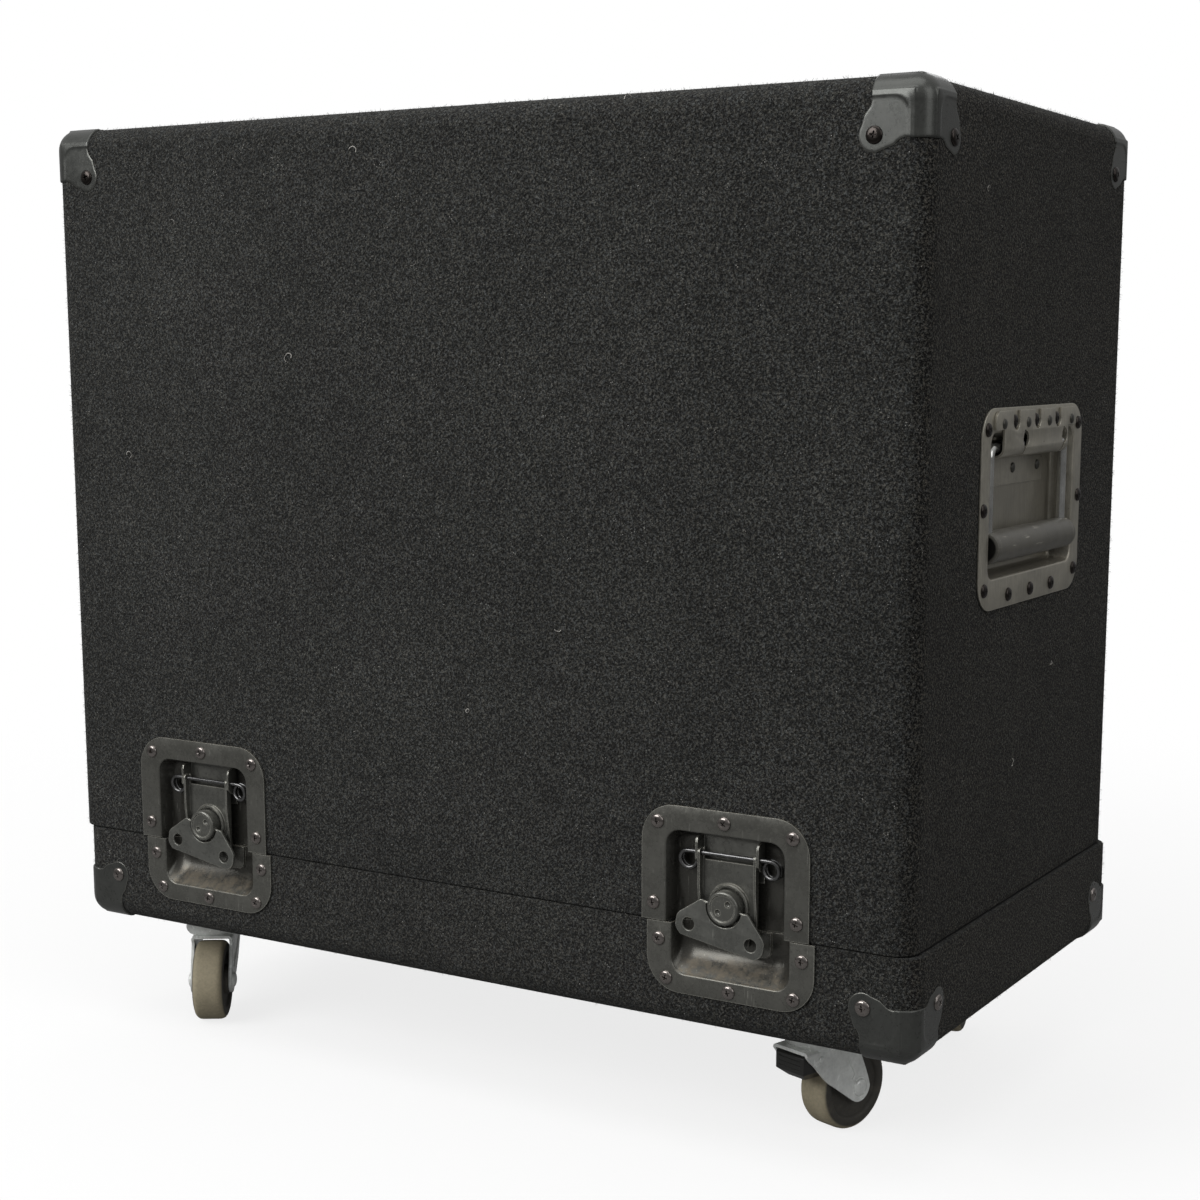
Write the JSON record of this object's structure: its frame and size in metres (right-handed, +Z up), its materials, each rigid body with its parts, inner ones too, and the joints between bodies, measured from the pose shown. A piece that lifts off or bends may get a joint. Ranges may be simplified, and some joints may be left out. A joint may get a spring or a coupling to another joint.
{
  "type": "amplifier transit case",
  "caption": "Carpet-covered amplifier transit case with a lift-off lid, recessed butterfly latches and spring handles, corner protectors and swivel casters.",
  "frame": {"origin": "centre of the bounding box on the floor, z = 0 where the wheels stand", "axes": "+X towards the right end, +Y towards the back (the front shows towards -Y), +Z up"},
  "size_m": [0.6935, 0.365, 0.6628],
  "materials": {
    "carpet": "ribbed felt",
    "plywood": "sanded",
    "foam": "open cell",
    "corner_steel": "satin",
    "hardware_steel": "satin",
    "drum_steel": "satin",
    "bail_steel": "worn",
    "grip_plastic": "scuffed",
    "zinc": "zinc plated",
    "wheel_rubber": "worn tread",
    "pedal_plastic": "matte"
  },
  "bodies": {
    "base": {"base_shell": "plywood", "base_carpet": "carpet", "base_foam": "foam", "corner_bottom_front_left": "corner_steel", "latch_dish_lower_front_left": "hardware_steel", "caster_plate_front_left": "zinc", "corner_bottom_front_right": "corner_steel", "latch_dish_lower_front_right": "hardware_steel", "caster_plate_front_right": "zinc", "corner_bottom_rear_left": "corner_steel", "latch_dish_lower_rear_left": "hardware_steel", "caster_plate_rear_left": "zinc", "corner_bottom_rear_right": "corner_steel", "latch_dish_lower_rear_right": "hardware_steel", "caster_plate_rear_right": "zinc"},
    "lid": {"lid_shell": "plywood", "lid_carpet": "carpet", "lid_foam": "foam", "corner_top_front_left": "corner_steel", "latch_dish_upper_front_left": "hardware_steel", "corner_top_front_right": "corner_steel", "latch_dish_upper_front_right": "hardware_steel", "corner_top_rear_left": "corner_steel", "latch_dish_upper_rear_left": "hardware_steel", "corner_top_rear_right": "corner_steel", "latch_dish_upper_rear_right": "hardware_steel", "handle_dish_left": "hardware_steel", "handle_hinge_plate_left": "hardware_steel", "handle_dish_right": "hardware_steel", "handle_hinge_plate_right": "hardware_steel"},
    "handle_left": {"handle_bail_left": "bail_steel", "handle_grip_left": "grip_plastic"},
    "handle_right": {"handle_bail_right": "bail_steel", "handle_grip_right": "grip_plastic"},
    "latch_arm_front_left": {"latch_arm_front_left": "hardware_steel"},
    "latch_drum_front_left": {"latch_drum_front_left": "drum_steel"},
    "latch_wing_front_left": {"latch_wing_front_left": "hardware_steel"},
    "latch_hook_front_left": {"latch_hook_front_left": "hardware_steel"},
    "latch_arm_front_right": {"latch_arm_front_right": "hardware_steel"},
    "latch_drum_front_right": {"latch_drum_front_right": "drum_steel"},
    "latch_wing_front_right": {"latch_wing_front_right": "hardware_steel"},
    "latch_hook_front_right": {"latch_hook_front_right": "hardware_steel"},
    "latch_arm_rear_left": {"latch_arm_rear_left": "hardware_steel"},
    "latch_drum_rear_left": {"latch_drum_rear_left": "drum_steel"},
    "latch_wing_rear_left": {"latch_wing_rear_left": "hardware_steel"},
    "latch_hook_rear_left": {"latch_hook_rear_left": "hardware_steel"},
    "latch_arm_rear_right": {"latch_arm_rear_right": "hardware_steel"},
    "latch_drum_rear_right": {"latch_drum_rear_right": "drum_steel"},
    "latch_wing_rear_right": {"latch_wing_rear_right": "hardware_steel"},
    "latch_hook_rear_right": {"latch_hook_rear_right": "hardware_steel"},
    "caster_fork_front_left": {"caster_fork_front_left": "zinc"},
    "caster_wheel_front_left": {"caster_wheel_front_left": "wheel_rubber"},
    "caster_fork_front_right": {"caster_fork_front_right": "zinc"},
    "caster_wheel_front_right": {"caster_wheel_front_right": "wheel_rubber"},
    "brake_pedal_front_right": {"caster_brake_pedal_front_right": "pedal_plastic"},
    "caster_fork_rear_left": {"caster_fork_rear_left": "zinc"},
    "caster_wheel_rear_left": {"caster_wheel_rear_left": "wheel_rubber"},
    "caster_fork_rear_right": {"caster_fork_rear_right": "zinc"},
    "caster_wheel_rear_right": {"caster_wheel_rear_right": "wheel_rubber"},
    "brake_pedal_rear_right": {"caster_brake_pedal_rear_right": "pedal_plastic"}
  },
  "joints": [
    {"name": "lid_lift", "type": "slide", "parent": "base", "child": "lid", "axis": [0, 0, 1], "range_m": [0, 0.62]},
    {"name": "handle_left_swing", "type": "hinge", "parent": "lid", "child": "handle_left", "pos_m": [-0.3367, 0, 0.447], "axis": [0, 1, 0], "range_deg": [0, 88], "stiffness_Nm_per_rad": 0.25, "springref_deg": -28.65},
    {"name": "handle_right_swing", "type": "hinge", "parent": "lid", "child": "handle_right", "pos_m": [0.3367, 0, 0.447], "axis": [0, -1, 0], "range_deg": [0, 88], "stiffness_Nm_per_rad": 0.25, "springref_deg": -28.65},
    {"name": "latch_arm_front_left_swing", "type": "hinge", "parent": "lid", "child": "latch_arm_front_left", "pos_m": [-0.215, -0.1743, 0.1965], "axis": [-1, 0, 0], "range_deg": [0, 50]},
    {"name": "latch_drum_front_left_turn", "type": "hinge", "parent": "latch_arm_front_left", "child": "latch_drum_front_left", "pos_m": [-0.215, -0.1765, 0.1643], "axis": [0, 1, 0], "range_deg": [0, 180]},
    {"name": "latch_wing_front_left_fold", "type": "hinge", "parent": "latch_drum_front_left", "child": "latch_wing_front_left", "pos_m": [-0.215, -0.1795, 0.1643], "axis": [-0.9848, 0, 0.1736], "range_deg": [0, 90]},
    {"name": "latch_hook_front_left_slide", "type": "slide", "parent": "latch_arm_front_left", "child": "latch_hook_front_left", "axis": [0, 0, -1], "range_m": [0, 0.008]},
    {"name": "latch_arm_front_right_swing", "type": "hinge", "parent": "lid", "child": "latch_arm_front_right", "pos_m": [0.215, -0.1743, 0.1965], "axis": [-1, 0, 0], "range_deg": [0, 50]},
    {"name": "latch_drum_front_right_turn", "type": "hinge", "parent": "latch_arm_front_right", "child": "latch_drum_front_right", "pos_m": [0.215, -0.1765, 0.1643], "axis": [0, 1, 0], "range_deg": [0, 180]},
    {"name": "latch_wing_front_right_fold", "type": "hinge", "parent": "latch_drum_front_right", "child": "latch_wing_front_right", "pos_m": [0.215, -0.1795, 0.1643], "axis": [-0.9848, 0, 0.1736], "range_deg": [0, 90]},
    {"name": "latch_hook_front_right_slide", "type": "slide", "parent": "latch_arm_front_right", "child": "latch_hook_front_right", "axis": [0, 0, -1], "range_m": [0, 0.008]},
    {"name": "latch_arm_rear_left_swing", "type": "hinge", "parent": "lid", "child": "latch_arm_rear_left", "pos_m": [-0.215, 0.1743, 0.1965], "axis": [1, 0, 0], "range_deg": [0, 50]},
    {"name": "latch_drum_rear_left_turn", "type": "hinge", "parent": "latch_arm_rear_left", "child": "latch_drum_rear_left", "pos_m": [-0.215, 0.1765, 0.1643], "axis": [0, -1, 0], "range_deg": [0, 180]},
    {"name": "latch_wing_rear_left_fold", "type": "hinge", "parent": "latch_drum_rear_left", "child": "latch_wing_rear_left", "pos_m": [-0.215, 0.1795, 0.1643], "axis": [0.9848, 0, 0.1736], "range_deg": [0, 90]},
    {"name": "latch_hook_rear_left_slide", "type": "slide", "parent": "latch_arm_rear_left", "child": "latch_hook_rear_left", "axis": [0, 0, -1], "range_m": [0, 0.008]},
    {"name": "latch_arm_rear_right_swing", "type": "hinge", "parent": "lid", "child": "latch_arm_rear_right", "pos_m": [0.215, 0.1743, 0.1965], "axis": [1, 0, 0], "range_deg": [0, 50]},
    {"name": "latch_drum_rear_right_turn", "type": "hinge", "parent": "latch_arm_rear_right", "child": "latch_drum_rear_right", "pos_m": [0.215, 0.1765, 0.1643], "axis": [0, -1, 0], "range_deg": [0, 180]},
    {"name": "latch_wing_rear_right_fold", "type": "hinge", "parent": "latch_drum_rear_right", "child": "latch_wing_rear_right", "pos_m": [0.215, 0.1795, 0.1643], "axis": [0.9848, 0, 0.1736], "range_deg": [0, 90]},
    {"name": "latch_hook_rear_right_slide", "type": "slide", "parent": "latch_arm_rear_right", "child": "latch_hook_rear_right", "axis": [0, 0, -1], "range_m": [0, 0.008]},
    {"name": "caster_fork_front_left_swivel", "type": "hinge", "parent": "base", "child": "caster_fork_front_left", "pos_m": [-0.2655, -0.1155, 0.072], "axis": [0, 0, 1], "continuous": true},
    {"name": "caster_wheel_front_left_roll", "type": "hinge", "parent": "caster_fork_front_left", "child": "caster_wheel_front_left", "pos_m": [-0.25253, -0.1351, 0.03], "axis": [-0.8339, -0.5519, 0], "continuous": true},
    {"name": "caster_fork_front_right_swivel", "type": "hinge", "parent": "base", "child": "caster_fork_front_right", "pos_m": [0.2475, -0.1085, 0.072], "axis": [0, 0, 1], "continuous": true},
    {"name": "caster_wheel_front_right_roll", "type": "hinge", "parent": "caster_fork_front_right", "child": "caster_wheel_front_right", "pos_m": [0.25457, -0.08609, 0.03], "axis": [0.9537, -0.3007, 0], "continuous": true},
    {"name": "brake_pedal_front_right_press", "type": "hinge", "parent": "caster_fork_front_right", "child": "brake_pedal_front_right", "pos_m": [0.24344, -0.12137, 0.0575], "axis": [0.9537, -0.3007, 0], "range_deg": [0, 5]},
    {"name": "caster_fork_rear_left_swivel", "type": "hinge", "parent": "base", "child": "caster_fork_rear_left", "pos_m": [-0.2655, 0.1155, 0.072], "axis": [0, 0, 1], "continuous": true},
    {"name": "caster_wheel_rear_left_roll", "type": "hinge", "parent": "caster_fork_rear_left", "child": "caster_wheel_rear_left", "pos_m": [-0.25375, 0.13585, 0.03], "axis": [0.866, -0.5, 0], "continuous": true},
    {"name": "caster_fork_rear_right_swivel", "type": "hinge", "parent": "base", "child": "caster_fork_rear_right", "pos_m": [0.2475, 0.1085, 0.072], "axis": [0, 0, 1], "continuous": true},
    {"name": "caster_wheel_rear_right_roll", "type": "hinge", "parent": "caster_fork_rear_right", "child": "caster_wheel_rear_right", "pos_m": [0.24182, 0.1313, 0.03], "axis": [0.9703, 0.2419, 0], "continuous": true},
    {"name": "brake_pedal_rear_right_press", "type": "hinge", "parent": "caster_fork_rear_right", "child": "brake_pedal_rear_right", "pos_m": [0.25077, 0.0954, 0.0575], "axis": [0.9703, 0.2419, 0], "range_deg": [0, 5]}
  ],
  "couplings": [
    {"joint": "latch_drum_front_left_turn", "follows": "latch_hook_front_left_slide", "rad_per_m": 392.7},
    {"joint": "latch_drum_front_right_turn", "follows": "latch_hook_front_right_slide", "rad_per_m": 392.7},
    {"joint": "latch_drum_rear_left_turn", "follows": "latch_hook_rear_left_slide", "rad_per_m": 392.7},
    {"joint": "latch_drum_rear_right_turn", "follows": "latch_hook_rear_right_slide", "rad_per_m": 392.7}
  ]
}
